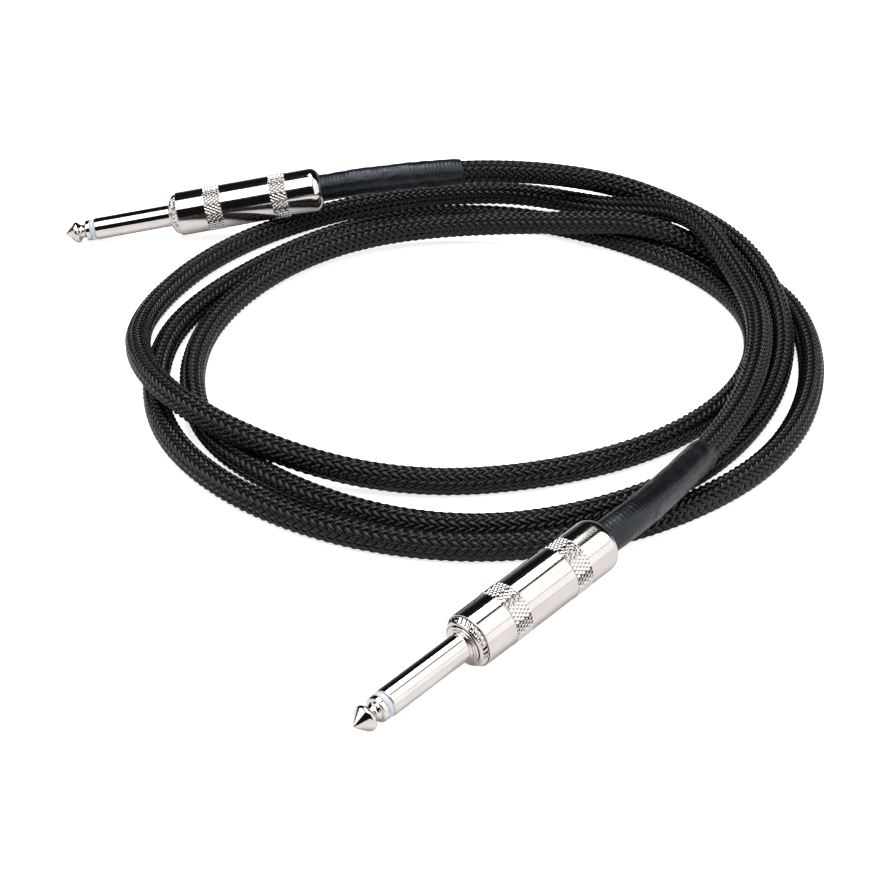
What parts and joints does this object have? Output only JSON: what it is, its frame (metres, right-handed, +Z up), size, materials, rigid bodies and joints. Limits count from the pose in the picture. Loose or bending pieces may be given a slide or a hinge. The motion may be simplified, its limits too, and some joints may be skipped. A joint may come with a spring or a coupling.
{
  "type": "instrument cable",
  "caption": "Instrument cable with a straight metal plug at each end and a black woven jacket, lying in a loose round coil.",
  "frame": {"origin": "on the surface the cable lies on, under the middle of the box around the two plugs", "axes": "+Z up from that surface. +Y runs away from the front plug towards the rear plug, +X towards the side where the coil bulges."},
  "size_m": [0.2118, 0.2805, 0.0216],
  "materials": {
    "nickel_plate": "polished, bright nickel plate on brass",
    "brass_rod": "turned",
    "tinned_metal": "tinned, satin",
    "solder": "satin",
    "pale_nylon": "semi-gloss",
    "fibre_board": "matte",
    "liner_card": "matte",
    "core_insulation": "satin",
    "copper_strand": "stranded wire",
    "woven_black": "woven herringbone braid, low sheen",
    "core_rubber": "matte",
    "heat_shrink_black": "satin, with the weave showing through faintly"
  },
  "bodies": {
    "cable": {"rear_tip": "nickel_plate", "rear_tip_insulator_ring": "pale_nylon", "rear_centre_rod": "brass_rod", "rear_rod_insulator_tube": "pale_nylon", "rear_sleeve_barrel": "nickel_plate", "rear_threaded_body": "nickel_plate", "rear_ground_lug": "tinned_metal", "rear_lug_washer": "fibre_board", "rear_tip_lug": "tinned_metal", "rear_tip_solder": "solder", "rear_ground_solder": "solder", "rear_core_insulation": "core_insulation", "rear_core_conductor": "copper_strand", "rear_shield_pigtail": "copper_strand", "front_tip": "nickel_plate", "front_tip_insulator_ring": "pale_nylon", "front_centre_rod": "brass_rod", "front_rod_insulator_tube": "pale_nylon", "front_sleeve_barrel": "nickel_plate", "front_threaded_body": "nickel_plate", "front_ground_lug": "tinned_metal", "front_lug_washer": "fibre_board", "front_tip_lug": "tinned_metal", "front_tip_solder": "solder", "front_ground_solder": "solder", "front_core_insulation": "core_insulation", "front_core_conductor": "copper_strand", "front_shield_pigtail": "copper_strand", "woven_jacket": "woven_black", "cable_core": "core_rubber", "rear_heat_shrink": "heat_shrink_black", "front_heat_shrink": "heat_shrink_black"},
    "rear_liner": {"rear_liner_tube": "liner_card"},
    "rear_handle": {"rear_handle": "nickel_plate"},
    "front_liner": {"front_liner_tube": "liner_card"},
    "front_handle": {"front_handle": "nickel_plate"}
  },
  "joints": [
    {"name": "rear_liner_slide", "type": "slide", "parent": "cable", "child": "rear_liner", "axis": [0.9843, 0.0514, 0.1688], "range_m": [0, 0.00561]},
    {"name": "rear_handle_turn", "type": "hinge", "parent": "rear_liner", "child": "rear_handle", "pos_m": [-0.01621, 0.12344, 0.01259], "axis": [0.9843, 0.0514, 0.1688], "range_deg": [0, 2520]},
    {"name": "front_liner_slide", "type": "slide", "parent": "cable", "child": "front_liner", "axis": [0.6927, 0.7045, 0.1544], "range_m": [0, 0.00561]},
    {"name": "front_handle_turn", "type": "hinge", "parent": "front_liner", "child": "front_handle", "pos_m": [0.05955, -0.08799, 0.01176], "axis": [0.6927, 0.7045, 0.1544], "range_deg": [0, 2520]}
  ],
  "couplings": [
    {"joint": "rear_liner_slide", "follows": "rear_handle_turn", "m_per_rad": 0.00012732},
    {"joint": "front_liner_slide", "follows": "front_handle_turn", "m_per_rad": 0.00012732}
  ]
}
